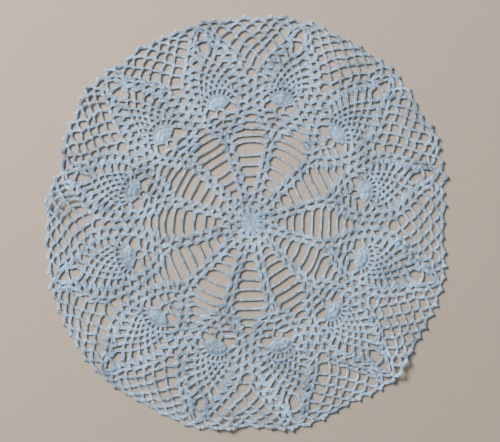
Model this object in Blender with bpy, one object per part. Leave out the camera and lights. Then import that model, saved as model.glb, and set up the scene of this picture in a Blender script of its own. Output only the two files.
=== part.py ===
"""Round crocheted lace doily, lying flat: one openwork sheet with a scalloped rim.

Metres, +Z up. The origin is on the underside, at the middle of the centre rosette. The pattern is
drawn true and round first, in millimetres and degrees, and laid() then puts each of its points where
the cloth lies, pulled a little out of round.
"""

import math

import bmesh
import bpy
from mathutils import Vector

MM = 0.001
THICKNESS = 2.0  # of the lace, a stitch and its back strands

WINDOWS = 12  # ladder windows, each between two spokes; a pineapple grows outside each spoke
SECTOR = 360 / WINDOWS
SCALLOPS = 8  # picot loops to a sector
SCALLOP_TIP = 186.5
SCALLOP_VALLEY = 183.0

# How the cloth lies, every 15 degrees from +X: the turn in degrees, and its radius as a share of the
# true round pattern's, out to the pineapples' foot, at their tips and at the rim.
LAID_COLUMNS = ("turn", "foot", "tip", "rim")
LAID_RADIUS = (102.0, 159.0, 185.0)
LAID = (
    (-1.5, 0.935, 0.955, 0.942),
    (0.1, 0.961, 0.955, 0.980),
    (0.0, 0.974, 0.987, 0.988),
    (0.3, 0.999, 1.000, 1.010),
    (0.8, 1.022, 1.020, 1.000),
    (0.2, 1.030, 1.011, 1.005),
    (-0.8, 1.003, 0.993, 0.995),
    (0.4, 0.999, 1.009, 1.000),
    (-1.0, 0.984, 0.993, 0.997),
    (0.3, 0.986, 1.021, 1.029),
    (0.0, 0.964, 0.991, 1.000),
    (0.5, 0.986, 0.972, 0.971),
    (0.4, 1.003, 1.024, 0.995),
    (1.4, 1.024, 1.023, 1.015),
    (1.6, 1.051, 1.053, 1.039),
    (0.6, 1.080, 1.062, 1.044),
    (0.0, 1.061, 1.067, 1.013),
    (-0.7, 1.062, 1.056, 1.032),
    (-1.4, 1.037, 1.047, 0.998),
    (-1.5, 1.035, 1.040, 1.027),
    (-2.1, 1.013, 1.013, 1.010),
    (-2.2, 0.991, 1.023, 1.034),
    (-3.0, 0.969, 0.980, 0.990),
    (-3.0, 0.947, 0.966, 0.973),
)
LAID_STEP = 360 / len(LAID)
STILL_RADIUS = 36.0  # inside this the turn fades to nothing at the centre

# Low puckers at the rim, each a hump on the sheet: the polar place of its top, how far it reaches
# along the radius and across it, and its height.
PUCKER_COLUMNS = ("radius", "angle", "along", "across", "height")
PUCKERS = (
    (178.0, 171.0, 24.0, 9.0, 3.0),
    (192.0, 316.0, 16.0, 18.0, 4.0),
    (184.0, 264.0, 13.0, 14.0, 2.0),
    (184.0, 279.0, 13.0, 14.0, 1.6),
)
CREASES = ((-1, -0.3, 0.4), (-1, -0.4, 0.4, 1))  # shares of a pucker's reach that get an edge over it
CLOSE = 0.02  # corners nearer than this are one

# The ladder window: chain rungs across a gap between two spokes. Rung 0 is the gap's foot.
RUNG_RADIUS = (25.0, 33.0, 41.3, 50.4, 59.9, 68.3, 75.9, 83.3, 90.3, 97.0)
RUNG_WIDTH = 2.2
GAP_HALF_WIDTH = (3.6, 5.4, 7.8, 10.8, 13.3, 13.7, 11.7, 8.2, 5.4)

# Rungs that have slipped from their even places: the window's angle, the rung, how far out it has
# gone, and how much further out its clockwise end lies than its other end.
SLIP_COLUMNS = ("window", "rung", "out", "lean")
SLIPS = (
    (0, 1, 1.0, 0.0),
    (30, 2, 1.5, -0.8),
    (30, 5, -1.2, -0.6),
    (60, 4, 0.9, 0.0),
    (60, 5, 0.8, 1.0),
    (90, 4, -1.0, 1.8),
    (90, 5, 2.7, 0.8),
    (90, 6, 0.8, 1.4),
    (120, 2, -1.2, 0.5),
    (120, 3, -0.9, 1.6),
    (120, 5, -0.4, 1.2),
    (120, 6, -0.9, 1.0),
    (150, 5, 1.0, -0.3),
    (150, 7, 1.2, -0.7),
    (180, 3, 1.2, -1.8),
    (180, 4, 2.0, -1.0),
    (180, 5, 2.1, -1.6),
    (180, 6, 1.6, -1.4),
    (210, 3, -1.6, 0.0),
    (210, 4, -2.0, 0.4),
    (210, 5, -1.6, -0.5),
    (210, 7, 1.0, -0.6),
    (240, 3, -2.1, 0.0),
    (240, 5, 1.5, 0.0),
    (240, 6, 1.4, -0.9),
    (270, 4, -0.6, 0.0),
    (300, 4, 0.0, 1.0),
    (300, 7, 0.0, 1.2),
    (330, 3, 1.2, 1.2),
    (330, 4, 1.0, 1.6),
    (330, 5, 1.9, 1.2),
    (330, 6, -1.6, 2.0),
)

# Single holes on either side of a spoke's line, the same in every sector.
FLANK_RADIUS, FLANK_OFF = 104.9, 5.7
FLANK_SIZE = (7.2, 6.6)
TIP_RADIUS = 159.0
TIP_SIZE = (4.6, 13.0)

# The mesh of loops that fans out beyond a window: rows of one, two, three and four gaps.
FAN_RADIUS = (135.0, 143.6, 151.2, 158.4)
FAN_PITCH = (4.3, 4.3, 4.25, 4.2)  # degrees from gap to gap
FAN_SIZE = (8.0, 7.4)

THREAD_COLOUR = (0.60, 0.67, 0.72, 1.0)


def around(column, angle):
    """A column of LAID at an angle in degrees, curved smoothly from row to row."""
    row = math.floor(angle / LAID_STEP)
    t = angle / LAID_STEP - row
    a, b, c, d = (LAID[(row + k) % len(LAID)][column] for k in (-1, 0, 1, 2))
    return b + t / 2 * (c - a + t * (2 * a - 5 * b + 4 * c - d + t * (3 * (b - c) + d - a)))


def laid(radius, angle):
    """The (x, y) in millimetres where a point of the true round pattern lies."""
    shares = [around(LAID_COLUMNS.index(name), angle) for name in ("foot", "tip", "rim")]
    foot, tip, rim = LAID_RADIUS
    if radius < tip:
        t = max(radius - foot, 0) / (tip - foot)
        share = shares[0] + t * (shares[1] - shares[0])
    else:
        t = (radius - tip) / (rim - tip)
        share = shares[1] + t * (shares[2] - shares[1])
    turn = around(LAID_COLUMNS.index("turn"), angle) * min(radius / STILL_RADIUS, 1)
    out = math.radians(angle + turn)
    return radius * share * math.cos(out), radius * share * math.sin(out)


def from_top(pucker, x, y):
    """A point's place on a pucker, as shares of its reach along and across: its edges are at -1 and 1."""
    radius, angle, along, across, _ = pucker
    out_x, out_y = math.cos(math.radians(angle)), math.sin(math.radians(angle))
    return (x * out_x + y * out_y - radius) / along, (y * out_x - x * out_y) / across


def lift(x, y):
    """How far the sheet stands off the surface at (x, y), in millimetres."""
    height = 0.0
    for pucker in PUCKERS:
        u, v = from_top(pucker, x, y)
        height += pucker[-1] * max(0.0, 1 - u * u) * max(0.0, 1 - v * v)
    return height


def rim():
    """The scalloped outline: a picot tip and a valley in turn."""
    points = []
    count = WINDOWS * SCALLOPS
    for k in range(count):
        middle = (k + 0.5) * 360 / count
        points.append(laid(SCALLOP_VALLEY, middle - 180 / count))
        points.append(laid(SCALLOP_TIP, middle))
    return points


def hexagon(radius, angle, width, height):
    """A six-sided hole, pointed along the radius, in a size across and a size along it."""
    corners = ((0, 1), (-1, 0.5), (-1, -0.5), (0, -1), (1, -0.5), (1, 0.5))
    half_turn = math.degrees(width / 2 / radius)
    return [laid(radius + v * height / 2, angle + u * half_turn) for u, v in corners]


def diamond(radius, angle, width, height):
    corners = ((0, 1), (-1, 0), (0, -1), (1, 0))
    half_turn = math.degrees(width / 2 / radius)
    return [laid(radius + v * height / 2, angle + u * half_turn) for u, v in corners]


def rung_place(window, rung):
    """A rung's mean radius, and how much further out its clockwise end lies."""
    for angle, slipped, out, lean in SLIPS:
        if (angle, slipped) == (window, rung):
            return RUNG_RADIUS[rung] + out, lean
    return RUNG_RADIUS[rung], 0.0


def side(gap):
    """A gap's half-width at its lower edge, middle and upper edge: the window is a pointed oval."""
    middle = GAP_HALF_WIDTH[gap]
    below = GAP_HALF_WIDTH[gap - 1] if gap else middle * 0.8
    above = GAP_HALF_WIDTH[gap + 1] if gap + 1 < len(GAP_HALF_WIDTH) else middle * 0.7
    return (middle * 2 + below) / 3 - 0.6, middle, (middle * 2 + above) / 3 - 0.6


def window_gap(window, gap):
    """The six corners of the space between one rung and the next."""
    low, low_lean = rung_place(window, gap)
    high, high_lean = rung_place(window, gap + 1)
    low, high = low + RUNG_WIDTH / 2, high - RUNG_WIDTH / 2
    at_low, at_middle, at_high = side(gap)
    points = []
    for across, radius, lean in (
        (-at_low, low, low_lean),
        (at_low, low, low_lean),
        (at_middle, (low + high) / 2, (low_lean + high_lean) / 2),
        (at_high, high, high_lean),
        (-at_high, high, high_lean),
        (-at_middle, (low + high) / 2, (low_lean + high_lean) / 2),
    ):
        leant = radius - lean / 2 * across / at_middle
        points.append(laid(leant, window + math.degrees(across / radius)))
    return points


def holes():
    """Every opening through the sheet, as lists of corners in millimetres."""
    found = []
    for sector in range(WINDOWS):
        window = sector * SECTOR
        spoke = window + SECTOR / 2
        found += [window_gap(window, gap) for gap in range(len(GAP_HALF_WIDTH))]
        found += [hexagon(FLANK_RADIUS, spoke + off, *FLANK_SIZE) for off in (-FLANK_OFF, FLANK_OFF)]
        found.append(hexagon(TIP_RADIUS, spoke, *TIP_SIZE))
        for row, (radius, pitch) in enumerate(zip(FAN_RADIUS, FAN_PITCH)):
            for k in range(row + 1):
                found.append(diamond(radius, window + (k - row / 2) * pitch, *FAN_SIZE))
    return found


def flat_sheet(name, loops):
    """A mesh one face thick, filled between the first loop and the rest."""
    curve = bpy.data.curves.new(name, "CURVE")
    curve.dimensions = "2D"
    curve.fill_mode = "BOTH"
    for loop in loops:
        spline = curve.splines.new("POLY")
        spline.points.add(len(loop) - 1)
        for point, (x, y) in zip(spline.points, loop):
            point.co = (x * MM, y * MM, 0, 1)
        spline.use_cyclic_u = True
    outline = bpy.data.objects.new(name, curve)
    bpy.context.scene.collection.objects.link(outline)
    graph = bpy.context.evaluated_depsgraph_get()
    mesh = bpy.data.meshes.new_from_object(outline.evaluated_get(graph))
    bpy.data.objects.remove(outline)
    bpy.data.curves.remove(curve)
    mesh.name = name
    return mesh


def cross(work, pucker, axis, share):
    """New edges over a pucker, on the line at this share of its reach along (axis 0) or across (axis 1)."""
    radius, angle, *reach, _ = pucker
    frame = [Vector((math.cos(a), math.sin(a), 0)) for a in (math.radians(angle), math.radians(angle + 90))]
    near = []
    for face in work.faces:
        places = [from_top(pucker, corner.co.x / MM, corner.co.y / MM) for corner in face.verts]
        if all(min(place[k] for place in places) < 1 and max(place[k] for place in places) > -1 for k in (0, 1)):
            near.append(face)
    edges = {edge for face in near for edge in face.edges}
    corners = {corner for face in near for corner in face.verts}
    bmesh.ops.bisect_plane(
        work,
        geom=near + list(edges) + list(corners),
        dist=CLOSE * MM,
        plane_co=(frame[0] * radius + frame[axis] * share * reach[axis]) * MM,
        plane_no=frame[axis],
    )


def thickened(mesh):
    """The flat mesh with its puckers raised, each on edges of its own, and its thickness added upward."""
    work = bmesh.new()
    work.from_mesh(mesh)
    bmesh.ops.remove_doubles(work, verts=work.verts, dist=CLOSE * MM)
    for pucker in PUCKERS:
        for axis, shares in enumerate(CREASES):
            for share in shares:
                cross(work, pucker, axis, share)
    bmesh.ops.triangulate(work, faces=work.faces)
    bmesh.ops.beautify_fill(work, faces=work.faces, edges=work.edges, method="ANGLE")
    for vertex in work.verts:
        vertex.co.z = lift(vertex.co.x / MM, vertex.co.y / MM) * MM
    upper = bmesh.ops.extrude_face_region(work, geom=list(work.faces))["geom"]
    corners = [piece for piece in upper if isinstance(piece, bmesh.types.BMVert)]
    bmesh.ops.translate(work, verts=corners, vec=(0, 0, THICKNESS * MM))
    bmesh.ops.recalc_face_normals(work, faces=work.faces)
    work.to_mesh(mesh)
    work.free()


def thread_material():
    material = bpy.data.materials.new("cotton thread")
    material.use_nodes = True
    shader = material.node_tree.nodes["Principled BSDF"]
    shader.inputs["Base Color"].default_value = THREAD_COLOUR
    shader.inputs["Roughness"].default_value = 0.85
    return material


for old in list(bpy.data.objects):
    bpy.data.objects.remove(old)

collection = bpy.data.collections.new("lace doily")
bpy.context.scene.collection.children.link(collection)

sheet = flat_sheet("doily", [rim()] + holes())
thickened(sheet)
sheet.materials.append(thread_material())
collection.objects.link(bpy.data.objects.new("doily", sheet))
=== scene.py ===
"""Round crocheted lace doily of pale cotton thread, laid flat, with its finish.

Metres, +Z up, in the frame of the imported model. The chart is worked in millimetres and degrees, from
the centre outward, as the doily is crocheted: rosette, spokes and ladders, columns, pineapples, net
and picot rim. Every stitch is real thread geometry, and the finished thread is kept in six slices.
"""

import math
import random

import bmesh
import bpy
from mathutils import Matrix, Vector, noise


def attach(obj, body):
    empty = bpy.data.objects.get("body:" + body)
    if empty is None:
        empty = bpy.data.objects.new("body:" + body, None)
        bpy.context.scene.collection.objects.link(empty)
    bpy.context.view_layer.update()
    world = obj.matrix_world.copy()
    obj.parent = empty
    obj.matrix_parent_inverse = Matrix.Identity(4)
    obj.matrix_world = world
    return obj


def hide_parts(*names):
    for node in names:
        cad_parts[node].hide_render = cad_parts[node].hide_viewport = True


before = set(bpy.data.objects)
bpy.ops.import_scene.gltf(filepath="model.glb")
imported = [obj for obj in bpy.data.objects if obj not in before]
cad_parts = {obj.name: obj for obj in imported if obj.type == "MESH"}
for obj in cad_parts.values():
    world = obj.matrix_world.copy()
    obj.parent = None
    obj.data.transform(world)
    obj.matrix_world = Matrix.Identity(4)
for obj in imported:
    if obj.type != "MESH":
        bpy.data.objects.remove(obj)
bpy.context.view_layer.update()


# ---- The thread ----------------------------------------------------------------------------------
# Crochet cotton of three plies, pale blue-grey, with the low sheen of a washed mercerised thread.
# The whole doily is worked from one thread, so every piece takes this finish.

MM = 0.001

# The deep colour is the thread's darker patches and also painted shade in the grooves between its plies.
PALE_THREAD = (0.45, 0.68, 0.92, 1.0)
DARK_AND_SHADED_THREAD = (0.10, 0.15, 0.20, 1.0)
THREAD_ROUGHNESS = 0.82
THREAD_SHEEN, SHEEN_ROUGHNESS = 0.25, 0.5
PLY_DEPTH, PLY_STRENGTH = 0.35 * MM, 0.8
PLIES = 3
FIBRE_SCALE, PATCH_SCALE = 2600.0, 26.0  # of the fibres, and of the patches of dye and wear
RIDGE_LEVEL, RIDGE_PLY, RIDGE_FIBRE = 0.5, 0.4, 0.35  # how much each adds to the ridges
# The plies' share is painted shade in the grooves between them and painted highlight on their ridges.
PLY_PAINTED_SHADE, TONE_STITCH, TONE_FIBRE = 0.2, 0.16, 0.25  # how much each adds to the patches' tone
DEEP_TONE, PALE_TONE = 0.35, 0.85  # the tones that have the deep and the pale colour


def wired(tree, kind, **inputs):
    """A new node, with each named input set to a value or linked to a socket."""
    node = tree.nodes.new(kind)
    for name, value in inputs.items():
        socket = node.inputs[name.replace("_", " ")]
        if isinstance(value, bpy.types.NodeSocket):
            tree.links.new(value, socket)
        else:
            socket.default_value = value
    return node


def sums(tree, operation, *terms):
    """The output of a Math node over the given sockets and numbers."""
    node = tree.nodes.new("ShaderNodeMath")
    node.operation = operation
    for socket, term in zip(node.inputs, terms):
        if isinstance(term, bpy.types.NodeSocket):
            tree.links.new(term, socket)
        else:
            socket.default_value = term
    return node.outputs[0]


def twisted_cotton():
    """Shader group: the plies' slanting ridges with fibres on them, and a tone of uneven dye and wear
    with painted shade in the grooves between the plies and painted highlight on their ridges.
    """
    group = bpy.data.node_groups.new("twisted cotton", "ShaderNodeTree")
    face = group.interface
    values = (("Plies", PLIES), ("Twist", 1.0), ("Fibre Scale", FIBRE_SCALE), ("Patch Scale", PATCH_SCALE))
    for name, value in values:
        face.new_socket(name, in_out="INPUT", socket_type="NodeSocketFloat").default_value = value
    for name in ("Ridge", "Tone"):
        face.new_socket(name, in_out="OUTPUT", socket_type="NodeSocketFloat")
    given = group.nodes.new("NodeGroupInput").outputs
    place = group.nodes.new("ShaderNodeTexCoord")

    round_and_along = wired(group, "ShaderNodeSeparateXYZ", Vector=place.outputs["UV"]).outputs
    turns = sums(group, "MULTIPLY", round_and_along["X"], given["Plies"])
    turns = sums(group, "MULTIPLY_ADD", round_and_along["Y"], given["Twist"], turns)
    wave = sums(group, "SINE", sums(group, "MULTIPLY", turns, 2 * math.pi))
    fibres = wired(group, "ShaderNodeTexNoise", Vector=place.outputs["Object"],
                   Scale=given["Fibre Scale"], Detail=2.0)
    ridge = sums(group, "MULTIPLY_ADD", wave, RIDGE_PLY, RIDGE_LEVEL)
    ridge = sums(group, "MULTIPLY_ADD", fibres.outputs["Fac"], RIDGE_FIBRE, ridge)

    patches = wired(group, "ShaderNodeTexNoise", Vector=place.outputs["Object"],
                    Scale=given["Patch Scale"], Detail=3.0)
    shade = group.nodes.new("ShaderNodeAttribute")
    shade.attribute_name = "shade"
    # Painted shade and highlight: the plies' wave darkens the colour in their grooves and lightens it on
    # their ridges; the patches, stitches and fibres vary it at random.
    tone = sums(group, "MULTIPLY_ADD", wave, PLY_PAINTED_SHADE, patches.outputs["Fac"])
    tone = sums(group, "MULTIPLY_ADD", shade.outputs["Fac"], TONE_STITCH, tone)
    tone = sums(group, "MULTIPLY_ADD", fibres.outputs["Fac"], TONE_FIBRE, tone)
    end = group.nodes.new("NodeGroupOutput")
    group.links.new(ridge, end.inputs["Ridge"])
    group.links.new(tone, end.inputs["Tone"])
    return group


def thread_material():
    material = bpy.data.materials.new("crochet cotton")
    material.use_nodes = True
    tree = material.node_tree
    shader = tree.nodes["Principled BSDF"]
    twist = tree.nodes.new("ShaderNodeGroup")
    twist.node_tree = twisted_cotton()
    dye = tree.nodes.new("ShaderNodeValToRGB")
    dye.color_ramp.elements[0].position = DEEP_TONE
    dye.color_ramp.elements[0].color = DARK_AND_SHADED_THREAD
    dye.color_ramp.elements[1].position = PALE_TONE
    dye.color_ramp.elements[1].color = PALE_THREAD
    tree.links.new(twist.outputs["Tone"], dye.inputs["Fac"])
    tree.links.new(dye.outputs["Color"], shader.inputs["Base Color"])
    bump = wired(tree, "ShaderNodeBump", Height=twist.outputs["Ridge"],
                 Distance=PLY_DEPTH, Strength=PLY_STRENGTH)
    tree.links.new(bump.outputs["Normal"], shader.inputs["Normal"])
    shader.inputs["Roughness"].default_value = THREAD_ROUGHNESS
    shader.inputs["Sheen Weight"].default_value = THREAD_SHEEN
    shader.inputs["Sheen Roughness"].default_value = SHEEN_ROUGHNESS
    return material


cotton = thread_material()


# ---- The stitches --------------------------------------------------------------------------------
# Chain, single crochet, double crochet and treble, each made of loops of the one thread drawn through
# each other. One of each is modelled, and Geometry Nodes work them along the chart's lines.

STITCHES = ("chain", "double", "treble", "single")
UP = Vector((0, 0, 1))

# Each strand of a stitch in millimetres: how far across, along from the foot and up its points lie,
# and how thick the thread is there, measured from its middle.
LINK_LENGTH = 2.3
LINK_LEG = (
    (0.14, -0.60, -0.34, 0.28),
    (0.48, 0.20, 0.00, 0.46),
    (0.64, 1.05, 0.22, 0.60),
    (0.44, 1.85, 0.12, 0.46),
    (0.12, 2.50, -0.14, 0.28),
)
POST_LENGTH = 7.5
POST_STRANDS = (
    (
        (-0.36, -0.50, -0.10, 0.36),
        (-0.60, 2.10, 0.12, 0.50),
        (-0.40, 5.00, 0.02, 0.50),
        (-0.44, 7.70, 0.05, 0.42),
    ),
    (
        (0.36, -0.50, -0.10, 0.36),
        (0.40, 2.60, -0.02, 0.50),
        (0.60, 5.40, 0.12, 0.50),
        (0.34, 7.70, 0.05, 0.42),
    ),
)
POST_WRAP = (
    (-0.96, -0.80, -0.28, 0.28),
    (-0.40, -0.38, 0.48, 0.38),
    (0.40, 0.40, 0.48, 0.38),
    (0.96, 0.80, -0.28, 0.28),
)
DOUBLE_WRAPS = (3.9,)
TREBLE_WRAPS = (2.7, 4.9)
KNOT_LENGTH = 2.2
KNOT_LEG = (
    (0.70, -0.35, -0.32, 0.36),
    (0.66, 0.25, 0.32, 0.50),
    (0.48, 1.35, 0.46, 0.54),
    (0.16, 2.35, 0.00, 0.42),
)
TWIST_LENGTH = 1.3  # of thread to one turn of its plies
UNEVENNESS, TILT = 0.11, 0.3  # the most that a stitch's thickness varies by, and rolls in radians


def strand(work, points):
    """A closed four-sided length of thread through the points, its UV going round it and along it."""
    places = [Vector(point[:3]) for point in points]
    rings = []
    for k, (place, point) in enumerate(zip(places, points)):
        ahead = places[min(k + 1, len(places) - 1)] - places[max(k - 1, 0)]
        side = ahead.cross(UP).normalized()
        top = side.cross(ahead).normalized()
        corners = (side, top, -side, -top)
        rings.append([work.verts.new(place + corner * point[3]) for corner in corners])
    uv = work.loops.layers.uv["UVMap"]
    along = 0.0
    for k in range(len(rings) - 1):
        step = (places[k + 1] - places[k]).length / TWIST_LENGTH
        for j in range(4):
            low, high = rings[k], rings[k + 1]
            face = work.faces.new((low[j], low[(j + 1) % 4], high[(j + 1) % 4], high[j]))
            corners = ((j, along), (j + 1, along), (j + 1, along + step), (j, along + step))
            for loop, (turn, length) in zip(face.loops, corners):
                loop[uv].uv = (turn / 4, length)
        along += step
    work.faces.new(rings[0][::-1])
    work.faces.new(rings[-1])


def stitch_shape(name, length, strands):
    """A stitch as long as one unit of Y, its middle at the origin, and of its real width and height."""
    work = bmesh.new()
    work.loops.layers.uv.new("UVMap")
    for points in strands:
        strand(work, points)
    bmesh.ops.recalc_face_normals(work, faces=work.faces)
    for face in work.faces:
        face.smooth = True
    for vertex in work.verts:
        x, y, z = vertex.co
        vertex.co = (x * MM, y / length - 0.5, z * MM)
    mesh = bpy.data.meshes.new(name)
    work.to_mesh(mesh)
    work.free()
    return bpy.data.objects.new(name, mesh)


def wraps(places):
    return [[(x, y + place, z, r) for x, y, z, r in POST_WRAP] for place in places]


def both_legs(leg):
    return [[(side * x, y, z, r) for x, y, z, r in leg] for side in (-1, 1)]


shapes = {
    "chain": stitch_shape("chain link", LINK_LENGTH, both_legs(LINK_LEG)),
    "double": stitch_shape("double crochet", POST_LENGTH, list(POST_STRANDS) + wraps(DOUBLE_WRAPS)),
    "treble": stitch_shape("treble", POST_LENGTH, list(POST_STRANDS) + wraps(TREBLE_WRAPS)),
    "single": stitch_shape("single crochet", KNOT_LENGTH, both_legs(KNOT_LEG)),
}


def worked_along(tree, given, edges, shape, chosen=None):
    """Nodes that put one stitch on each chosen edge, from end to end, face up and a little uneven."""
    ends = tree.nodes.new("GeometryNodeInputMeshEdgeVertices").outputs
    along = tree.nodes.new("ShaderNodeVectorMath")
    along.operation = "SUBTRACT"
    tree.links.new(ends["Position 2"], along.inputs[0])
    tree.links.new(ends["Position 1"], along.inputs[1])
    kept = tree.nodes.new("GeometryNodeCaptureAttribute")
    kept.domain = "EDGE"
    kept.capture_items.new("VECTOR", "Along")
    kept.capture_items.new("FLOAT", "Width")
    width = tree.nodes.new("GeometryNodeInputNamedAttribute")
    width.data_type = "FLOAT"
    width.inputs["Name"].default_value = "width"
    tree.links.new(width.outputs["Attribute"], kept.inputs["Width"])
    tree.links.new(edges, kept.inputs["Geometry"])
    tree.links.new(along.outputs["Vector"], kept.inputs["Along"])
    middles = tree.nodes.new("GeometryNodeMeshToPoints")
    middles.mode = "EDGES"
    tree.links.new(kept.outputs["Geometry"], middles.inputs["Mesh"])
    if chosen:
        tree.links.new(chosen, middles.inputs["Selection"])

    def drawn(seed_step, least, most):
        seed = sums(tree, "ADD", given["Seed"], seed_step)
        node = tree.nodes.new("FunctionNodeRandomValue")
        node.data_type = "FLOAT"
        tree.links.new(seed, node.inputs["Seed"])
        for socket, value in ((node.inputs[2], least), (node.inputs[3], most)):
            if isinstance(value, bpy.types.NodeSocket):
                tree.links.new(value, socket)
            else:
                socket.default_value = value
        return node.outputs[1]

    turned = tree.nodes.new("FunctionNodeAxesToRotation")
    turned.primary_axis, turned.secondary_axis = "Y", "Z"
    tree.links.new(kept.outputs["Along"], turned.inputs["Primary Axis"])
    turned.inputs["Secondary Axis"].default_value = UP
    tilt = drawn(1, sums(tree, "MULTIPLY", given["Tilt"], -1), given["Tilt"])
    roll = wired(tree, "FunctionNodeAxisAngleToRotation", Axis=(0, 1, 0), Angle=tilt)
    rolled = wired(tree, "FunctionNodeRotateRotation", Rotation=turned.outputs[0], Rotate_By=roll.outputs[0])
    rolled.rotation_space = "LOCAL"
    reach = tree.nodes.new("ShaderNodeVectorMath")
    reach.operation = "LENGTH"
    tree.links.new(kept.outputs["Along"], reach.inputs[0])
    thinnest = sums(tree, "SUBTRACT", 1, given["Unevenness"])
    thickest = sums(tree, "ADD", 1, given["Unevenness"])
    uneven = drawn(2, thinnest, thickest)
    thick = sums(tree, "MULTIPLY", uneven, kept.outputs["Width"])
    size = wired(tree, "ShaderNodeCombineXYZ", X=thick, Y=reach.outputs["Value"], Z=thick)
    source = tree.nodes.new("GeometryNodeObjectInfo")
    tree.links.new(shape, source.inputs["Object"])
    placed = wired(tree, "GeometryNodeInstanceOnPoints", Points=middles.outputs[0],
                   Instance=source.outputs["Geometry"], Rotation=rolled.outputs[0], Scale=size.outputs[0])
    shade = tree.nodes.new("GeometryNodeStoreNamedAttribute")
    shade.data_type, shade.domain = "FLOAT", "INSTANCE"
    shade.inputs["Name"].default_value = "shade"
    tree.links.new(placed.outputs[0], shade.inputs["Geometry"])
    tree.links.new(drawn(3, -1, 1), shade.inputs["Value"])
    return shade.outputs["Geometry"]


def crochet_tree():
    """Geometry Nodes that work the chart: runs of chain are spaced out link by link, and each other
    edge becomes the one stitch that its "stitch" number names."""
    tree = bpy.data.node_groups.new("crochet", "GeometryNodeTree")
    face = tree.interface
    face.new_socket("Geometry", in_out="INPUT", socket_type="NodeSocketGeometry")
    for name in STITCHES:
        face.new_socket(name, in_out="INPUT", socket_type="NodeSocketObject")
    values = (("Link Length", LINK_LENGTH * MM), ("Unevenness", UNEVENNESS), ("Tilt", TILT))
    for name, value in values:
        face.new_socket(name, in_out="INPUT", socket_type="NodeSocketFloat").default_value = value
    face.new_socket("Seed", in_out="INPUT", socket_type="NodeSocketInt")
    face.new_socket("Material", in_out="INPUT", socket_type="NodeSocketMaterial")
    face.new_socket("Geometry", in_out="OUTPUT", socket_type="NodeSocketGeometry")
    given = tree.nodes.new("NodeGroupInput").outputs
    number = tree.nodes.new("GeometryNodeInputNamedAttribute")
    number.data_type = "INT"
    number.inputs["Name"].default_value = "stitch"

    def is_stitch(name):
        same = tree.nodes.new("FunctionNodeCompare")
        same.data_type, same.operation = "INT", "EQUAL"
        tree.links.new(number.outputs["Attribute"], same.inputs[2])
        same.inputs[3].default_value = STITCHES.index(name)
        return same.outputs[0]

    runs = wired(tree, "GeometryNodeSeparateGeometry", Geometry=given["Geometry"],
                 Selection=is_stitch("chain"))
    runs.domain = "EDGE"
    line = wired(tree, "GeometryNodeMeshToCurve", Mesh=runs.outputs["Selection"])
    smooth = wired(tree, "GeometryNodeCurveSplineType", Curve=line.outputs[0])
    smooth.spline_type = "CATMULL_ROM"
    length = tree.nodes.new("GeometryNodeSplineLength").outputs["Length"]
    links = sums(tree, "ROUND", sums(tree, "DIVIDE", length, given["Link Length"]))
    corners = sums(tree, "ADD", sums(tree, "MAXIMUM", links, 1), 1)
    spaced = wired(tree, "GeometryNodeResampleCurve", Curve=smooth.outputs[0], Count=corners)
    chain = wired(tree, "GeometryNodeCurveToMesh", Curve=spaced.outputs[0])

    join = tree.nodes.new("GeometryNodeJoinGeometry")
    tree.links.new(worked_along(tree, given, chain.outputs[0], given["chain"]), join.inputs[0])
    for name in STITCHES[1:]:
        edges = runs.outputs["Inverted"]
        tree.links.new(worked_along(tree, given, edges, given[name], is_stitch(name)), join.inputs[0])
    real = wired(tree, "GeometryNodeRealizeInstances", Geometry=join.outputs[0])
    done = wired(tree, "GeometryNodeSetMaterial", Geometry=real.outputs[0], Material=given["Material"])
    end = tree.nodes.new("NodeGroupOutput")
    tree.links.new(done.outputs[0], end.inputs[0])
    return tree


crochet = crochet_tree()


# ---- How the cloth lies --------------------------------------------------------------------------
# The doily was spread by hand, so it lies a little out of round, its stitches wander, and the rim
# has low puckers. Each chart place, a radius and an angle, is put where the cloth really lies.

# Every 15 degrees from +X: the turn in degrees, and the radius as a share of the true round
# pattern's, out to the pineapples' foot, at their tips and at the rim.
LAID_COLUMNS = ("turn", "foot", "tip", "rim")
LAID_RADIUS = (102.0, 159.0, 185.0)
LAID = (
    (-1.5, 0.935, 0.955, 0.942),
    (0.1, 0.961, 0.955, 0.986),
    (0.0, 0.974, 0.987, 0.988),
    (0.3, 0.999, 1.000, 1.010),
    (0.8, 1.022, 1.020, 1.004),
    (0.2, 1.030, 1.011, 1.018),
    (-0.8, 1.003, 0.993, 1.003),
    (0.4, 0.999, 1.009, 1.000),
    (-1.0, 0.984, 0.993, 1.006),
    (0.3, 0.986, 1.021, 1.019),
    (0.0, 0.964, 0.991, 1.000),
    (0.5, 0.986, 0.972, 0.976),
    (0.4, 1.003, 1.024, 0.995),
    (1.4, 1.024, 1.023, 1.024),
    (1.6, 1.051, 1.053, 1.039),
    (0.6, 1.080, 1.062, 1.044),
    (0.0, 1.061, 1.067, 1.026),
    (-0.7, 1.062, 1.056, 1.042),
    (-1.4, 1.037, 1.047, 0.998),
    (-1.5, 1.035, 1.040, 1.041),
    (-2.1, 1.013, 1.013, 1.016),
    (-2.2, 0.991, 1.023, 1.044),
    (-3.0, 0.969, 0.980, 1.002),
    (-3.0, 0.947, 0.966, 0.996),
)
LAID_STEP = 360 / len(LAID)
STILL_RADIUS = 36.0  # inside this the turn fades to nothing at the centre

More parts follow.
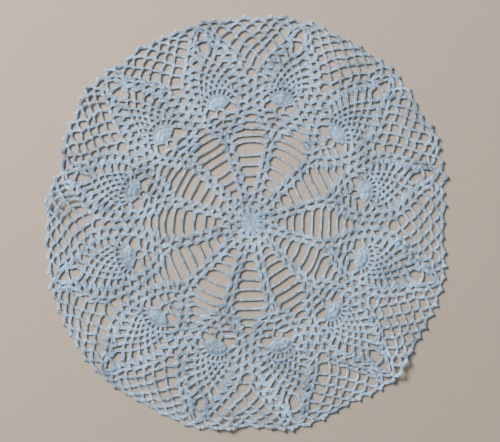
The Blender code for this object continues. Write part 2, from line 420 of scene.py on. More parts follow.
# Low puckers and pushed places at the rim: the polar place of each one's middle, how far it reaches
# along the radius and across it, how high the cloth stands there, and how far it is pushed out.
PUCKERS = (
    (180.0, 174.0, 26.0, 13.0, 3.0, 4.6),
    (182.0, 164.5, 22.0, 9.0, 0.0, -1.8),
    (192.0, 316.0, 16.0, 18.0, 4.0, 0.0),
    (184.0, 263.0, 16.0, 15.0, 2.0, 2.8),
    (184.0, 279.0, 13.0, 14.0, 1.6, 0.0),
    (184.0, 143.0, 22.0, 15.0, 1.0, 4.2),
    (184.0, 128.5, 20.0, 12.0, 0.0, -3.8),
    (184.0, 25.0, 20.0, 14.0, 0.8, 3.0),
    (184.0, 10.0, 18.0, 14.0, 0.0, -2.4),
)
# How far apart the stitches' strays are, and how big at the centre and at the rim.
WANDERS = ((70.0, 1.3, 1.3), (17.0, 0.8, 1.9), (8.0, 0.25, 0.8))
BED = 0.98  # the middle of the thread above the surface
# Of a chain above the bed: a loop, one along the heads of a round, and the ring in the middle.
CHAIN_RISE, LINE_RISE, RING_RISE = 0.15, 0.3, 0.4
ARCH_STEPS = (-1, -0.75, -0.45, -0.18, 0, 0.18, 0.45, 0.75, 1)  # from a loop's start to its end
noise.seed_set(1)  # without it the strays change at every run


def around(column, angle):
    """A column of LAID at an angle in degrees, curved smoothly from row to row."""
    row = math.floor(angle / LAID_STEP)
    t = angle / LAID_STEP - row
    a, b, c, d = (LAID[(row + k) % len(LAID)][column] for k in (-1, 0, 1, 2))
    return b + t / 2 * (c - a + t * (2 * a - 5 * b + 4 * c - d + t * (3 * (b - c) + d - a)))


def laid(radius, angle):
    """The (x, y) in millimetres where a point of the true round pattern lies."""
    shares = [around(LAID_COLUMNS.index(name), angle) for name in ("foot", "tip", "rim")]
    foot, tip, rim = LAID_RADIUS
    if radius < tip:
        t = max(radius - foot, 0) / (tip - foot)
        share = shares[0] + t * (shares[1] - shares[0])
    else:
        t = (radius - tip) / (rim - tip)
        share = shares[1] + t * (shares[2] - shares[1])
    turn = around(LAID_COLUMNS.index("turn"), angle) * min(radius / STILL_RADIUS, 1)
    out = math.radians(angle + turn)
    return radius * share * math.cos(out), radius * share * math.sin(out)


def puckered(x, y):
    """How far the cloth at (x, y) is moved along X and Y and off the surface, in millimetres."""
    move = Vector((0, 0, 0))
    for radius, angle, along, across, top, push in PUCKERS:
        out_x, out_y = math.cos(math.radians(angle)), math.sin(math.radians(angle))
        u, v = (x * out_x + y * out_y - radius) / along, (y * out_x - x * out_y) / across
        share = max(0.0, 1 - u * u) * max(0.0, 1 - v * v)
        move += share * Vector((push * out_x, push * out_y, top))
    return move


def lie(place, rise=0.0):
    """The point in metres where a chart place lies, rise millimetres above the bed of the cloth."""
    x, y = laid(*place)
    stray = puckered(x, y)
    share = min(place[0] / LAID_RADIUS[-1], 1) ** 2
    for reach, inner, outer in WANDERS:
        size = inner + (outer - inner) * share
        stray.xy += size * noise.noise_vector(Vector((x, y, 0)) / reach).xy
    return (x + stray.x) * MM, (y + stray.y) * MM, (stray.z + BED + rise) * MM


def moved(place, across, out):
    """A chart place moved across, anticlockwise, and out, in millimetres."""
    radius, angle = place
    return radius + out, angle + math.degrees(across / radius)


def beside(axis, across, out):
    """The chart place this far across an axis, anticlockwise, and this far out along it."""
    return math.hypot(across, out), axis + math.degrees(math.atan2(across, out))


def arched(start, end, crest, shape):
    """Places along a loop of chain from start to end, arched out over a crest; shape 1 is a sharp
    point and 2 a round arch."""
    places = []
    for s in ARCH_STEPS:
        share = 1 - abs(s) ** shape
        foot = start if s < 0 else end
        level = foot[0] + (crest[0] - foot[0]) * share
        places.append((level, crest[1] + (foot[1] - crest[1]) * abs(s)))
    return places


# ---- The slices ----------------------------------------------------------------------------------
# The doily is one cloth. Its thread is kept as six equal slices, two repeats of the pattern in each,
# so that no piece is too heavy. Each stitch or run of chain is whole, in the slice its middle is in.

SECTORS = 12
SECTOR = 360 / SECTORS
AXES = [SECTOR * (k + 0.5) for k in range(SECTORS)]  # of the spokes and pineapples
SLICES = 6
SLICE = 360 / SLICES
SLICE_START = 7.5  # halfway from a window's middle to a spoke, so that neither is cut along
KNOT_DEPTH, KNOT_RISE = 0.8, 0.25  # how far its foot is in from a loop's crest, and above the bed


class Chart:
    """The chart of one slice: its points, its edges, and each edge's stitch and width."""

    def __init__(self):
        self.points = []
        self.edges = []
        self.kinds = []
        self.widths = []


class Work:
    """The doily's chart, slice by slice: runs of chain, and single stitches from foot to head."""

    def __init__(self):
        self.slices = [Chart() for _ in range(SLICES)]

    def chart_at(self, places):
        """The chart of the slice that the middle of these places is in."""
        angle = places[len(places) // 2][1]
        return self.slices[int((angle - SLICE_START) % 360 // SLICE)]

    def chain(self, places, rise=CHAIN_RISE, width=1.0, ends=None):
        """A run of chain through the places; width is a share of the stitch's own, and ends is how
        many steps at each end have a width of their own, and that width."""
        chart = self.chart_at(places)
        first = len(chart.points)
        chart.points += [lie(place, rise) for place in places]
        count = len(places) - 1
        chart.edges += [(first + k, first + k + 1) for k in range(count)]
        chart.kinds += [STITCHES.index("chain")] * count
        widths = [width] * count
        if ends:
            widths[:ends[0]] = widths[count - ends[0]:] = [ends[1]] * ends[0]
        chart.widths += widths

    def stitch(self, kind, foot, head, rise=0.0, width=1.0):
        """A single stitch of one of the STITCHES, from its foot to its head."""
        chart = self.chart_at([foot, head])
        first = len(chart.points)
        chart.points += [lie(foot, rise), lie(head, rise)]
        chart.edges.append((first, first + 1))
        chart.kinds.append(STITCHES.index(kind))
        chart.widths.append(width)

    def knot(self, place, rise, width):
        """The single crochet on the crest of a loop, and the place at its head where the next row's
        loops start."""
        head = moved(place, 0, rise)
        self.stitch("single", moved(place, 0, -KNOT_DEPTH), head, rise=KNOT_RISE, width=width)
        return head

    def finished(self, number):
        """A slice in thread: its chart worked by the nodes, made a plain mesh and attached to the root body,
        with the imported doily part hidden.
        """
        name, chart = f"slice_{number + 1}", self.slices[number]
        lines = bpy.data.meshes.new(name)
        lines.from_pydata(chart.points, chart.edges, [])
        kinds = lines.attributes.new("stitch", "INT", "EDGE")
        kinds.data.foreach_set("value", chart.kinds)
        widths = lines.attributes.new("width", "FLOAT", "EDGE")
        widths.data.foreach_set("value", chart.widths)
        source = bpy.data.objects.new(name + " chart", lines)
        bpy.context.scene.collection.objects.link(source)
        nodes = source.modifiers.new("crochet", "NODES")
        nodes.node_group = crochet
        sockets = {s.name: s.identifier for s in crochet.interface.items_tree if s.in_out == "INPUT"}
        for stitch, shape in shapes.items():
            nodes[sockets[stitch]] = shape
        nodes[sockets["Material"]] = cotton
        nodes[sockets["Seed"]] = number
        graph = bpy.context.evaluated_depsgraph_get()
        mesh = bpy.data.meshes.new_from_object(source.evaluated_get(graph), depsgraph=graph)
        bpy.data.objects.remove(source)
        mesh.name = name
        for spent in ("stitch", "width"):
            mesh.attributes.remove(mesh.attributes[spent])
        piece = bpy.data.objects.new(name, mesh)
        bpy.context.scene.collection.objects.link(piece)
        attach(piece, "root")
        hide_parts("doily")


lace = Work()


# ---- The rosette ---------------------------------------------------------------------------------
# The middle of the doily: a tight disc of double crochets worked into a ring, then two rounds of
# paired double crochets with a small chain space between the pairs.

DISC_POSTS = 24
RING_RADIUS, DISC_RADIUS = 1.3, 7.2
PAIR_RADIUS, PAIR_OFF = 13.5, 0.85
SECOND_RADIUS, SECOND_OFF = 19.4, 1.0
SECOND_FEET = 0.8  # how far apart a second pair's feet are, as a share of the first pair's
SECOND_BOW = 0.3  # how far the chain between the second pairs bows out
POST_STEP = 0.1  # every other post of the disc is this much higher
DISC_WIDTH, PAIR_WIDTH, SPACE_WIDTH = 1.1, 1.3, 1.15  # of the posts, and of the chain between pairs

for k in range(DISC_POSTS):
    angle = 360 * k / DISC_POSTS
    foot, head = (RING_RADIUS, angle), (DISC_RADIUS, angle)
    lace.stitch("double", foot, head, rise=POST_STEP * (k % 2), width=DISC_WIDTH)
for k in range(SLICES):
    steps = range(DISC_POSTS // SLICES + 1)
    lace.chain([(DISC_RADIUS, SLICE * k + 360 * step / DISC_POSTS) for step in steps], rise=LINE_RISE)
    lace.chain([(RING_RADIUS, SLICE * k), (RING_RADIUS, SLICE * (k + 1))], rise=RING_RISE)
for axis in AXES:
    window = axis + SECTOR / 2
    for across in (-PAIR_OFF, PAIR_OFF):
        foot = moved((DISC_RADIUS, axis), across, 0)
        lace.stitch("double", foot, moved((PAIR_RADIUS, axis), across, 0), width=PAIR_WIDTH)
        foot = moved((PAIR_RADIUS, window), across * SECOND_FEET, 0)
        head = moved((SECOND_RADIUS, window), across / PAIR_OFF * SECOND_OFF, 0)
        lace.stitch("double", foot, head, width=PAIR_WIDTH)
    after = axis + SECTOR
    places = [(PAIR_RADIUS, axis), (PAIR_RADIUS, window), (PAIR_RADIUS, after)]
    lace.chain(places, width=SPACE_WIDTH)
    bowed = (SECOND_RADIUS + SECOND_BOW, after)
    lace.chain([(SECOND_RADIUS, window), bowed, (SECOND_RADIUS, window + SECTOR)], width=SPACE_WIDTH)


# ---- Spokes and ladders --------------------------------------------------------------------------
# Twelve spokes of shells, each shell two double crochets, two chain and two more in the space of the
# shell before. The chains that join the spokes lie as rungs across twelve pointed windows.

# A row for each round of shells: the radius at the shell's middle and at the windows' middle.
SPOKE = ((28.6, 25.0), (36.8, 33.0), (45.3, 41.3), (54.6, 50.4), (64.4, 59.9), (73.9, 68.3))
SPLIT_RADIUS, SPLIT_RUNG = 82.2, 75.9  # the round with two spaces, where each spoke parts in two
SPLIT_SPACE_OFF = 4.4
SPLIT_SPACE = (SPLIT_SPACE_OFF, 0.5)  # across and out from the round's middle
SPLIT_HEADS = ((-9.0, -6.0), (-7.6, -3.6), (-1.1, -0.6), (1.1, -0.6), (7.6, -3.6), (9.0, -6.0))
SPLIT_FEET = (-2.6, -1.8, -0.5, 0.5, 1.8, 2.6)
SPLIT_DIP = 0.3  # how far in its feet stand
SPLIT_TUCK = 0.6  # how far its chain dips in at the middle, between its spaces
SPLIT_WIDTH = 0.98
SHELL_HALF = 4.8
SHELL_FEET = (-2.2, -1.05, 1.05, 2.2)  # across the space that the posts stand in
INNER_HEADS = 0.72  # how far out the inner posts' heads are, as a share of the outer posts'
SHELL_WIDTH = 1.18  # of a shell's posts
# Of the chain along the heads of a shell, across a window, and from a shell to a pineapple.
HEAD_WIDTH, RUNG_WIDTH, CONNECT_WIDTH = 1.22, 0.89, 1.38
FOOT_DIP = 0.14  # how far in a post's foot goes for each square millimetre that it is off the middle
HEAD_TUCK = 0.4  # how far a post's head is under the chain
HEAD_BOW = 0.3  # how far the chain along a shell's heads bows out at its middle
RUNG_GAP = 0.3  # how far out of its rung's middle a shell's ends lie
POST_LEAN = 0.1  # how much higher a post lies for each millimetre that it is off the middle
RUNG_STEPS = (-0.86, -0.55, 0, 0.55, 0.86)  # along a rung, from -1 at its clockwise end to 1
RUNG_SHAPE = 3  # how squarely a rung leaves the shells

# Rungs that have slipped from their even places: the window's angle, the rung, how far out it has
# gone, and how much further out its clockwise end lies than its other end.
SLIPS = (
    (0, 1, 1.0, 0.0),
    (30, 2, 1.5, -0.8),
    (30, 5, -1.2, -0.6),
    (60, 4, 0.9, 0.0),
    (60, 5, 0.8, 1.0),
    (90, 4, -1.0, 1.8),
    (90, 5, 2.7, 0.8),
    (90, 6, 0.8, 1.4),
    (120, 2, -1.2, 0.5),
    (120, 3, -0.9, 1.6),
    (120, 5, -0.4, 1.2),
    (120, 6, -0.9, 1.0),
    (150, 5, 1.0, -0.3),
    (150, 7, 1.2, -0.7),
    (180, 3, 1.2, -1.8),
    (180, 4, 2.0, -1.0),
    (180, 5, 2.1, -1.6),
    (180, 6, 1.6, -1.4),
    (210, 3, -1.6, 0.0),
    (210, 4, -2.0, 0.4),
    (210, 5, -1.6, -0.5),
    (210, 7, 1.0, -0.6),
    (240, 3, -2.1, 0.0),
    (240, 5, 1.5, 0.0),
    (240, 6, 1.4, -0.9),
    (270, 4, -0.6, 0.0),
    (300, 4, 0.0, 1.0),
    (300, 7, 0.0, 1.2),
    (330, 3, 1.2, 1.2),
    (330, 4, 1.0, 1.6),
    (330, 5, 1.9, 1.2),
    (330, 6, -1.6, 2.0),
)


def shell(foot, middle, half, drops, width):
    """The posts of a shell from a space up to its own middle: its heads reach half as far to either
    side, and drop at its clockwise and anticlockwise ends. Returns the line along its heads."""
    heads = []
    for turn, drop in zip((-1, 1), drops):
        for share in (1.0, INNER_HEADS):
            heads.append((turn * share * half, -drop * share ** 2))
    heads = [heads[0], heads[1], heads[3], heads[2]]
    for across, (head_across, head_out) in zip(SHELL_FEET, heads):
        dip = FOOT_DIP * across * across
        head = moved(middle, head_across, head_out - HEAD_TUCK)
        lace.stitch("double", moved(foot, across, -dip), head, rise=POST_LEAN * abs(across), width=width)
    line = heads[:2] + [(0.0, HEAD_BOW)] + heads[2:]
    return [moved(middle, *place) for place in line]


def slip(window, rung):
    """How far out a rung has gone, and how much further its clockwise end."""
    for angle, slipped, out, lean in SLIPS:
        if (angle, slipped) == (window % 360, rung):
            return out, lean
    return 0.0, 0.0


def rung(window, number, start, end, radius):
    """Places along a chain rung across a window, from its clockwise end to its other end."""
    out, lean = slip(window, number)
    places = []
    for s in RUNG_STEPS:
        t = (s + 1) / 2
        ends = start[0] + (end[0] - start[0]) * t
        free = radius + out - s * lean / 2
        share = 1 - abs(s) ** RUNG_SHAPE
        places.append((ends + (free - ends) * share, start[1] + (end[1] - start[1]) * t))
    return places


def onward(places):
    """The same places one sector further round."""
    return [(radius, angle + SECTOR) for radius, angle in places]


foot_radius = SECOND_RADIUS
for number, (radius, rung_radius) in enumerate(SPOKE):
    drop = radius - rung_radius - RUNG_GAP
    for axis in AXES:
        heads = shell((foot_radius, axis), (radius, axis), SHELL_HALF, (drop, drop), SHELL_WIDTH)
        facing = onward(heads)
        middle = rung(axis + SECTOR / 2, number, heads[-1], facing[0], rung_radius)
        lace.chain(heads[2:] + middle + facing[:3], rise=LINE_RISE, width=RUNG_WIDTH, ends=(3, HEAD_WIDTH))
    foot_radius = radius
for axis in AXES:
    foot, middle = (foot_radius, axis), (SPLIT_RADIUS, axis)
    for across, (head_across, head_out) in zip(SPLIT_FEET, SPLIT_HEADS):
        head = moved(middle, head_across, head_out)
        lace.stitch("double", moved(foot, across, -SPLIT_DIP), head, width=SPLIT_WIDTH)
    half = [moved(middle, *place) for place in (SPLIT_HEADS[3], SPLIT_SPACE) + SPLIT_HEADS[4:]]
    next_half = [(r, 2 * axis + SECTOR - a) for r, a in reversed(half)]
    places = rung(axis + SECTOR / 2, len(SPOKE), half[-1], next_half[0], SPLIT_RUNG)
    middle = moved(middle, 0, -SPLIT_TUCK)
    line = [middle] + half + places + next_half + onward([middle])
    lace.chain(line, rise=LINE_RISE, width=RUNG_WIDTH, ends=(5, HEAD_WIDTH))


# ---- Columns -------------------------------------------------------------------------------------
# Past the split each spoke goes on as two columns of shells. They lean out against the next spoke's
# column, close the ladder window, then lean back in and meet again over the pineapple's tip.

# A row for each round: the radius and angle off the spoke of the shell's middle, half its width, and
# how far its ladder end and its pineapple end drop.
COLUMN = (
    (88.1, 6.5, 6.2, 4.4, 0.6),
    (95.0, 8.9, 5.6, 4.4, 1.8),
    (101.7, 10.5, 5.0, 4.4, 2.4),
    (109.2, 11.5, 5.4, 4.6, 2.4),
    (117.0, 11.9, 5.6, 4.2, 3.0),
    (125.4, 11.8, 5.8, 3.8, 3.8),
    (132.9, 11.5, 5.8, 3.0, 4.6),
    (140.0, 10.4, 5.9, 2.0, 5.8),
    (146.4, 8.7, 5.8, 1.4, 6.4),
    (152.8, 6.9, 5.6, 1.2, 6.4),
    (159.4, 5.1, 5.2, 1.2, 5.6),
    (165.8, 3.4, 4.8, 1.6, 3.8),
    (173.4, 2.5, 3.6, 1.4, 0.9),
)
COLUMN_WIDTH = {"inner": 1.14, "outer": 1.26}  # of a shell's posts
COLUMN_RUNGS = (83.3, 90.3, 97.0, 104.2, 112.2, 120.8, 129.6)
COLUMN_FOOT = 0.4  # how far out of the split round the first shells' feet stand

shell_heads = {}  # from the pineapple's side to the ladder's, for each spoke, side and round
for side in (-1, 1):
    for axis in AXES:
        foot = moved((SPLIT_RADIUS + COLUMN_FOOT, axis), side * SPLIT_SPACE_OFF, 0)
        for number, (radius, off, half, ladder, pineapple) in enumerate(COLUMN):
            middle = (radius, axis + side * off)
            part = "inner" if number < len(COLUMN_RUNGS) else "outer"
            drops = (pineapple, ladder)[::side]
            heads = shell(foot, middle, half, drops, COLUMN_WIDTH[part])
            shell_heads[axis, side, number] = heads[::side]
            foot = middle


def facing_heads(axis, number):
    """The heads of the next spoke's near column, from the ladder's side to the pineapple's."""
    far = shell_heads[(axis + SECTOR) % 360, -1, number][::-1]
    return far if axis + SECTOR < 360 else [(radius, angle + 360) for radius, angle in far]


for number, radius in enumerate(COLUMN_RUNGS):
    for axis in AXES:
        heads, facing = shell_heads[axis, 1, number], facing_heads(axis, number)
        places = rung(axis + SECTOR / 2, number + len(SPOKE) + 1, heads[-1], facing[0], radius)
        line = heads[2:] + places + facing[:3]
        lace.chain(line, rise=LINE_RISE, width=RUNG_WIDTH, ends=(3, HEAD_WIDTH))


# ---- Pineapples ----------------------------------------------------------------------------------
# Between a spoke's two columns grows a pineapple: a fan of trebles in one loop, a crown of double
# crochets round it, then rows of chain loops, one fewer each row, up to a single loop at the tip.

BASE_WIDTH = 1.25
BASE_ARCH, BASE_LINE = 89.4, 95.0
ARCH_FOOT = 0.4  # how far in the post on the arch stands
V_FOOT = (0.5, 0.3)  # how far across and in the V's posts stand
SHOULDER = (4.0, 94.2)  # across and out, of the second chain on either side of its middle
WING = (7.5, 99.8)  # across and out, on the way from a column to the V
V_OFF, V_TOP, V_LOOP = 3.0, 98.4, 105.3
V_SIDE = (4.0, 102.0)  # across and out, where the loop over the V is widest
# The fan of trebles and the crown of double crochets round it share one centre on the axis. Each is
# this many posts, spreads this many degrees to either side, and reaches this far across and out.
FAN_CENTRE = 106.2
FAN_POSTS, FAN_SPREAD, FAN_REACH = 14, 69.0, (12.0, 11.0)
CROWN_POSTS, CROWN_SPREAD, CROWN_REACH = 8, 57.0, (17.8, 16.7)
FAN_WIDTH, CROWN_WIDTH, LOOP_WIDTH = 0.92, 1.05, 1.06
FAN_LINE_WIDTH = 0.75
FAN_FEET = (2.4, 105.4, 0.8)  # how far across they reach, how far out, and how far the ends drop
LOOP_KNOT = 0.9  # how far a single crochet's head is above the crest that it is worked on
LOOP_KNOT_WIDTH = 0.95
LOOP_SHOULDER = (0.28, 0.9)  # across from the crest, as a share of the loop's width, and in from it
# The rows of loops: how many, how wide each is, how far out its crests lie and how far the end
# crests drop below the middle.
LOOP_ROWS = (
    (6, 5.4, 128.3, 4.2),
    (5, 6.1, 132.7, 3.3),
    (4, 6.8, 137.1, 2.3),
    (3, 7.5, 141.6, 1.1),
    (2, 8.2, 146.4, 0.2),
    (1, 7.4, 151.6, 0.0),
)
FIRST_JOINED = 3  # the round of the columns that the fan's own heads are joined to
TIP_BOW = (5.4, 157.4)  # across and out, of the last chain from a column to the tip
# Across and out, the chain over the pineapple's tip from one column to the other.
TIP_BAR = ((-9.5, 164.2), (-4.0, 166.2), (0.0, 166.6), (4.0, 166.2), (9.5, 164.2))


def fanned(axis, reach, spread, count):
    """Places spread evenly round the fan's centre, this far from it across and out."""
    turns = [math.radians(spread * (2 * k / (count - 1) - 1)) for k in range(count)]
    across, out = reach
    return [beside(axis, across * math.sin(t), FAN_CENTRE + out * math.cos(t)) for t in turns]


def row_crests(axis, row):
    """The crests of a row of loops, clockwise to anticlockwise."""
    count, pitch, out, drop = LOOP_ROWS[row]
    crests = []
    for k in range(count):
        across = (k - (count - 1) / 2) * pitch
        share = 2 * k / (count - 1) - 1 if count > 1 else 0
        crests.append(beside(axis, across, out - drop * share * share))
    return crests


def between(a, b):
    return (a[0] + b[0]) / 2, (a[1] + b[1]) / 2


for axis in AXES:
    inner = []  # for each round, the half of each side's heads that the pineapple is joined to
    for number in range(len(COLUMN)):
        inner.append({side: shell_heads[axis, side, number][2::-1] for side in (-1, 1)})

    arch, line = (BASE_ARCH, axis), (BASE_LINE, axis)
    lace.chain(inner[0][-1] + [arch] + inner[0][1][::-1], rise=LINE_RISE, width=BASE_WIDTH)
    lace.stitch("double", moved(arch, 0, -ARCH_FOOT), line)
    shoulders = [beside(axis, side * SHOULDER[0], SHOULDER[1]) for side in (-1, 1)]
    places = inner[1][-1] + [shoulders[0], line, shoulders[1]] + inner[1][1][::-1]
    lace.chain(places, rise=LINE_RISE, width=BASE_WIDTH)
    for side in (-1, 1):
        top = beside(axis, side * V_OFF, V_TOP)
        lace.stitch("double", moved(line, side * V_FOOT[0], -V_FOOT[1]), top)
        wing = beside(axis, side * WING[0], WING[1])
        lace.chain(inner[2][side] + [wing, top], rise=LINE_RISE, width=BASE_WIDTH)
    left, right = (beside(axis, side * V_OFF, V_TOP) for side in (-1, 1))
    v_left, v_right = (beside(axis, side * V_SIDE[0], V_SIDE[1]) for side in (-1, 1))
    lace.chain([left, v_left, (V_LOOP, axis), v_right, right])

    heads = fanned(axis, FAN_REACH, FAN_SPREAD, FAN_POSTS)
    for k, head in enumerate(heads):
        share = 2 * k / (FAN_POSTS - 1) - 1
        reach, out, drop = FAN_FEET
        foot = beside(axis, reach * share, out - drop * share ** 2)
        lace.stitch("treble", foot, head, width=FAN_WIDTH)
    lace.chain(heads, rise=LINE_RISE, width=FAN_LINE_WIDTH)
    crown_feet = fanned(axis, FAN_REACH, CROWN_SPREAD, CROWN_POSTS)
    crown = fanned(axis, CROWN_REACH, CROWN_SPREAD, CROWN_POSTS)
    for foot, head in zip(crown_feet, crown):
        lace.stitch("double", foot, head, width=CROWN_WIDTH)
    lace.chain(crown, rise=LINE_RISE, width=LOOP_WIDTH)

    joints = [between(*pair) for pair in zip(crown, crown[1:])]
    ends = [(heads[0], heads[-1]), (crown[0], crown[-1])]
    for row in range(len(LOOP_ROWS)):
        ends.append((joints[0], joints[-1]))
        heads = []
        for start, end, crest in zip(joints, joints[1:], row_crests(axis, row)):
            off, below = LOOP_ROWS[row][1] * LOOP_SHOULDER[0], LOOP_SHOULDER[1]
            places = (start, moved(crest, -off, -below), crest, moved(crest, off, -below), end)
            lace.chain(places, width=LOOP_WIDTH)
            heads.append(lace.knot(crest, LOOP_KNOT, LOOP_KNOT_WIDTH))
        joints = heads
    ends.append((joints[0], joints[-1]))
    for number, pair in enumerate(ends, start=FIRST_JOINED):
        for side, end in zip((-1, 1), pair):
            last = number == FIRST_JOINED + len(ends) - 1
            bow = [beside(axis, side * TIP_BOW[0], TIP_BOW[1])] if last else []
            lace.chain(inner[number][side] + bow + [end], rise=LINE_RISE, width=CONNECT_WIDTH)
    lace.chain([beside(axis, across, out) for across, out in TIP_BAR], rise=LINE_RISE, width=HEAD_WIDTH)


# ---- Net -----------------------------------------------------------------------------------------
# Fans of chain loops fill the wedges between the pineapples, each loop fastened at the crest of one
# in the row before by a single crochet, and one more loop in each row.

NET_CRESTS = (140.4, 148.2, 155.6, 162.2, 167.9, 173.0)
# Degrees off the wedge's middle of each row's crests.
NET_TURNS = (
    (0.0,),
    (-2.3, 2.3),
    (-4.4, 0.0, 4.4),
    (-6.4, -2.2, 2.2, 6.4),
    (-8.4, -4.3, 0.0, 4.3, 8.4),
    (-9.5, -6.0, -2.0, 2.0, 6.0, 9.5),
)
FIRST_NET_ROUND = len(COLUMN_RUNGS)
NET_SHAPES = (1.9, 1.6, 1.5, 1.5, 1.55, 1.65)  # of each row's loops: 1 is sharp, 2 round
NET_WIDTH = 1.04
NET_STRAY = 0.8  # how far a crest may be from its even place
NET_KNOT, NET_KNOT_WIDTH = 1.3, 1.15  # how far a single crochet's head is above the crest

# The nets have been drawn askew: each wedge's angle, how far anticlockwise its crests have gone, and
# how much further out the first row's would lie for each millimetre clockwise, less in each later row.
ASKEW = (
    (0, -2.0, 0.00),
    (30, 0.0, 0.05),
    (60, -1.5, 0.06),
    (90, 1.5, 0.32),
    (120, 4.5, 0.30),
    (150, 0.0, 0.12),
    (180, -1.5, 0.2),
    (210, -5.0, 0.07),
    (240, -2.0, 0.04),
    (270, 3.5, 0.02),
    (300, 4.0, 0.28),
    (330, 0.0, 0.18),
)

chance = random.Random(5)
net_crests = {}
for axis in AXES:
    window = axis + SECTOR / 2
    shift, slope = next(row[1:] for row in ASKEW if row[0] == window % 360)
    joints = []
    for row, (radius, turns) in enumerate(zip(NET_CRESTS, NET_TURNS)):
        number = FIRST_NET_ROUND + row
        heads, facing = shell_heads[axis, 1, number], facing_heads(axis, number)
        stops = [heads[-1]] + joints + [facing[0]]
        crests = []
        for turn in turns:
            across = math.radians(turn) * radius
            rise = -across * slope * (1 - row / len(NET_CRESTS))
            stray = [chance.uniform(-NET_STRAY, NET_STRAY) for _ in range(2)]
            crests.append(moved((radius, window), across + shift + stray[0], rise + stray[1]))
        for k, (left, right) in enumerate(zip(stops, stops[1:])):
            places = arched(left, right, crests[k], NET_SHAPES[row])
            if k == 0:
                places = heads[2:] + places[1:]
            if k == len(crests) - 1:
                places = places[:-1] + facing[:3]
            lace.chain(places, width=NET_WIDTH)
        joints = [lace.knot(crest, NET_KNOT, NET_KNOT_WIDTH) for crest in crests]
    net_crests[axis] = joints


# ---- Picot rim -----------------------------------------------------------------------------------
# The last two rounds: eight loops to a sector, and then a small loop between each two of them with a
# picot at its crest, which stand out as low points all round the edge.

LOOP_CREST, EDGE_CREST = 178.8, 182.8
LOOP_SHAPE, EDGE_SHAPE = 2.1, 2.2
RIM_WIDTH, EDGE_WIDTH = 1.1, 1.3
PICOT_RISE, PICOT_WIDTH = 2.3, 1.45
RIM_KNOT_WIDTH = 1.2
AXIS_CREST = 177.2  # of the chain that closes the two columns over a spoke
# How far the last rounds' crests stray: in degrees either way, and in and out.
LOOP_SWAY, LOOP_STRAY = 0.4, (-0.7, 0.7)
EDGE_SWAY, EDGE_STRAY = 0.5, (-0.9, 0.7)
PICOT_SIZES = (0.7, 1.2)  # the smallest and largest picot, as a share of PICOT_RISE

chance = random.Random(11)
fastened = []  # the head of the single crochet on each loop of the round inside the edge
for axis in AXES:
    start = (COLUMN[-1][0], axis - COLUMN[-1][1])
    close = (COLUMN[-1][0], axis + COLUMN[-1][1])
    after = (COLUMN[-1][0], axis + SECTOR - COLUMN[-1][1])
    left_heads, right_heads = (shell_heads[axis, side, len(COLUMN) - 1][2::-1] for side in (-1, 1))
    lace.chain(left_heads + [(AXIS_CREST, axis)] + right_heads[::-1], rise=LINE_RISE)
    stops = [start, close] + net_crests[axis] + [after]
    for left, right in zip(stops, stops[1:]):
        middle = (left[1] + right[1]) / 2 + chance.uniform(-LOOP_SWAY, LOOP_SWAY)
        crest = (LOOP_CREST + chance.uniform(*LOOP_STRAY), middle)
        lace.chain(arched(left, right, crest, LOOP_SHAPE), width=RIM_WIDTH)
        fastened.append(lace.knot(crest, NET_KNOT, RIM_KNOT_WIDTH))
fastened.append((fastened[0][0], fastened[0][1] + 360))
for left, right in zip(fastened, fastened[1:]):
    middle = (left[1] + right[1]) / 2 + chance.uniform(-EDGE_SWAY, EDGE_SWAY)
    crest = (EDGE_CREST + chance.uniform(*EDGE_STRAY), middle)
    lace.chain(arched(left, right, crest, EDGE_SHAPE), width=EDGE_WIDTH)
    lace.knot(crest, PICOT_RISE * chance.uniform(*PICOT_SIZES), PICOT_WIDTH)


# ---- The finished lace ---------------------------------------------------------------------------
# The chart is complete, so each slice of it is worked in thread. The stitches that were copied along
# it, and the nodes that did so, are then done with.

for number in range(SLICES):
    lace.finished(number)

bpy.data.node_groups.remove(crochet)
for shape in shapes.values():
    bpy.data.objects.remove(shape)


# ---- The studio ----------------------------------------------------------------------------------
# A plain pale floor, soft daylight from the upper left and a camera straight above the doily.

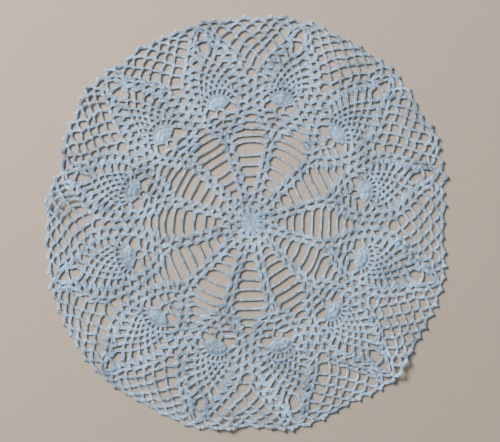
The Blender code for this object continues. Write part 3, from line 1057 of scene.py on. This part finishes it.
FRAME_WIDTH = 0.450  # what the camera sees across at the floor
LENS, SENSOR = 50.0, 36.0
OFF_CENTRE = (-0.00036, 0.00054)  # where the camera looks, a little off the doily's middle
FLOOR_HALF = 12.0  # the floor reaches this far each way
FLOOR_COLOUR, FLOOR_ROUGHNESS = (0.32, 0.26, 0.20, 1), 0.9
SKY_COLOUR, SKY_STRENGTH = (0.80, 0.90, 1.0, 1), 0.3

floor_mesh = bpy.data.meshes.new("floor")
corners = [(x * FLOOR_HALF, y * FLOOR_HALF, 0) for x, y in ((-1, -1), (1, -1), (1, 1), (-1, 1))]
floor_mesh.from_pydata(corners, [], [(0, 1, 2, 3)])
floor = bpy.data.objects.new("floor", floor_mesh)
bpy.context.scene.collection.objects.link(floor)
paint = bpy.data.materials.new("plain floor")
paint.use_nodes = True
paint.node_tree.nodes["Principled BSDF"].inputs["Base Color"].default_value = FLOOR_COLOUR
paint.node_tree.nodes["Principled BSDF"].inputs["Roughness"].default_value = FLOOR_ROUGHNESS
floor_mesh.materials.append(paint)

world = bpy.data.worlds.new("studio")
bpy.context.scene.world = world
world.use_nodes = True
world.node_tree.nodes["Background"].inputs["Color"].default_value = SKY_COLOUR
world.node_tree.nodes["Background"].inputs["Strength"].default_value = SKY_STRENGTH


def lamp(name, place, size, power, colour):
    """A round lamp that faces the doily's middle: its place and width in metres, its power in watts."""
    light = bpy.data.lights.new(name, "AREA")
    light.shape = "DISK"
    light.size = size
    light.energy = power
    light.color = colour
    holder = bpy.data.objects.new(name, light)
    holder.location = place
    holder.rotation_euler = (-Vector(place)).to_track_quat("-Z", "Y").to_euler()
    bpy.context.scene.collection.objects.link(holder)


lamp("window light", (-1.3, 1.2, 1.2), 0.9, 150, (1.0, 0.98, 0.96))
lamp("fill light", (1.4, -1.0, 1.6), 1.6, 6, (0.90, 0.95, 1.0))

camera_data = bpy.data.cameras.new("camera")
camera_data.lens = LENS
camera_data.sensor_width = SENSOR
camera = bpy.data.objects.new("camera", camera_data)
camera.location = (*OFF_CENTRE, FRAME_WIDTH * LENS / SENSOR)
bpy.context.scene.collection.objects.link(camera)
bpy.context.scene.camera = camera
